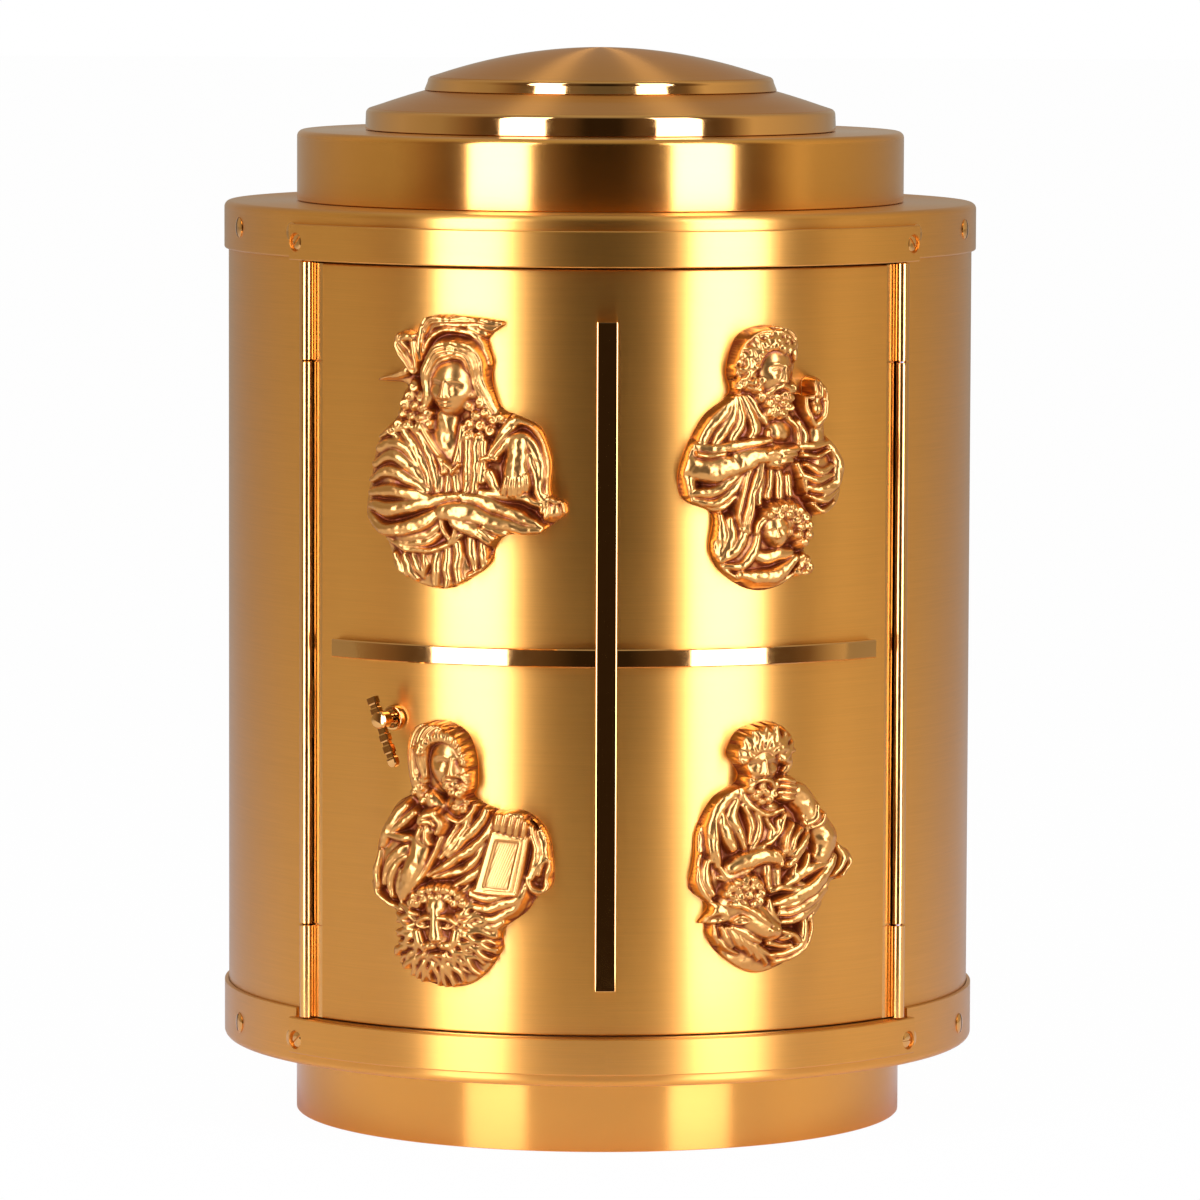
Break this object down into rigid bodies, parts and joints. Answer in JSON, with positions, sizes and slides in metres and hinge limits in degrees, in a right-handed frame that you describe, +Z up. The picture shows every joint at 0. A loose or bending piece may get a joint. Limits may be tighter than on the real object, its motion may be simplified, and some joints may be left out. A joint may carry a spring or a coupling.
{
  "type": "altar tabernacle",
  "caption": "Round gilt-brass altar tabernacle on a base ring, with a curved locking door that carries a cross and cast reliefs, under a drum and stepped saucer domes.",
  "frame": {"origin": "middle of the base plate's underside, where the tabernacle stands on the altar", "axes": "+Z up, -Y out through the door, +X to the right seen from the front, on the hinge side"},
  "size_m": [0.3556, 0.3644, 0.5047],
  "materials": {
    "satin_brass": "gilt brass, finely brushed and lacquered",
    "polished_brass": "gilt brass, polished bright",
    "cast_brass": "gilt brass casting, polished on the high places and dark in the folds",
    "plain_brass": "plain rolled brass inside the cabinet",
    "steel": "plated steel"
  },
  "bodies": {
    "cabinet": {"base_ring": "satin_brass", "base_plate": "plain_brass", "base_post_1": "steel", "base_post_2": "steel", "base_post_3": "steel", "floor_spacer_1": "steel", "floor_spacer_2": "steel", "floor_spacer_3": "steel", "ceiling_spacer_1": "steel", "ceiling_spacer_2": "steel", "ceiling_spacer_3": "steel", "bottom_pan": "satin_brass", "floor_plate": "plain_brass", "chamber_floor": "polished_brass", "body_shell": "satin_brass", "inner_liner": "polished_brass", "left_jamb": "satin_brass", "right_jamb": "satin_brass", "ceiling_plate": "plain_brass", "top_pan": "satin_brass", "drum": "satin_brass", "lower_dome": "satin_brass", "upper_dome": "satin_brass", "dome_tie_rod": "steel", "dome_tie_nut": "steel", "sill_strip": "satin_brass", "header_strip": "satin_brass", "sill_screw_left": "polished_brass", "sill_screw_right": "polished_brass", "header_screw_left": "polished_brass", "header_screw_right": "polished_brass", "hinge_body_leaf": "polished_brass", "hinge_pin": "steel", "false_hinge_body_leaf": "polished_brass", "keeper": "plain_brass", "door_stop_upper": "plain_brass", "door_stop_lower": "plain_brass"},
    "door": {"door_skin": "satin_brass", "door_back_plate": "satin_brass", "hinge_door_leaf": "polished_brass", "false_hinge_door_leaf": "polished_brass", "cross_upright": "polished_brass", "cross_beam": "polished_brass", "relief_with_eagle": "cast_brass", "relief_with_child": "cast_brass", "relief_with_lion": "cast_brass", "relief_with_ox": "cast_brass", "lock_case": "steel", "lock_cylinder": "polished_brass"},
    "plug": {"lock_plug": "polished_brass"},
    "key": {"key": "polished_brass"},
    "bolt": {"lock_bolt": "polished_brass"}
  },
  "joints": [
    {"name": "door_hinge", "type": "hinge", "parent": "cabinet", "child": "door", "pos_m": [0.13697, -0.11211, 0.233], "axis": [0, 0, 1], "range_deg": [0, 120]},
    {"name": "plug_turn", "type": "hinge", "parent": "door", "child": "plug", "pos_m": [-0.09586, -0.14761, 0.2014], "axis": [0.5446, 0.8387, 0], "range_deg": [0, 90]},
    {"name": "key_draw", "type": "slide", "parent": "plug", "child": "key", "axis": [-0.5446, -0.8387, 0], "range_m": [0, 0.022]},
    {"name": "bolt_throw", "type": "slide", "parent": "door", "child": "bolt", "axis": [-0.8387, 0.5446, 0], "range_m": [0, 0.0095]}
  ],
  "couplings": [
    {"joint": "bolt_throw", "follows": "plug_turn", "m_per_rad": 0.0060478}
  ]
}
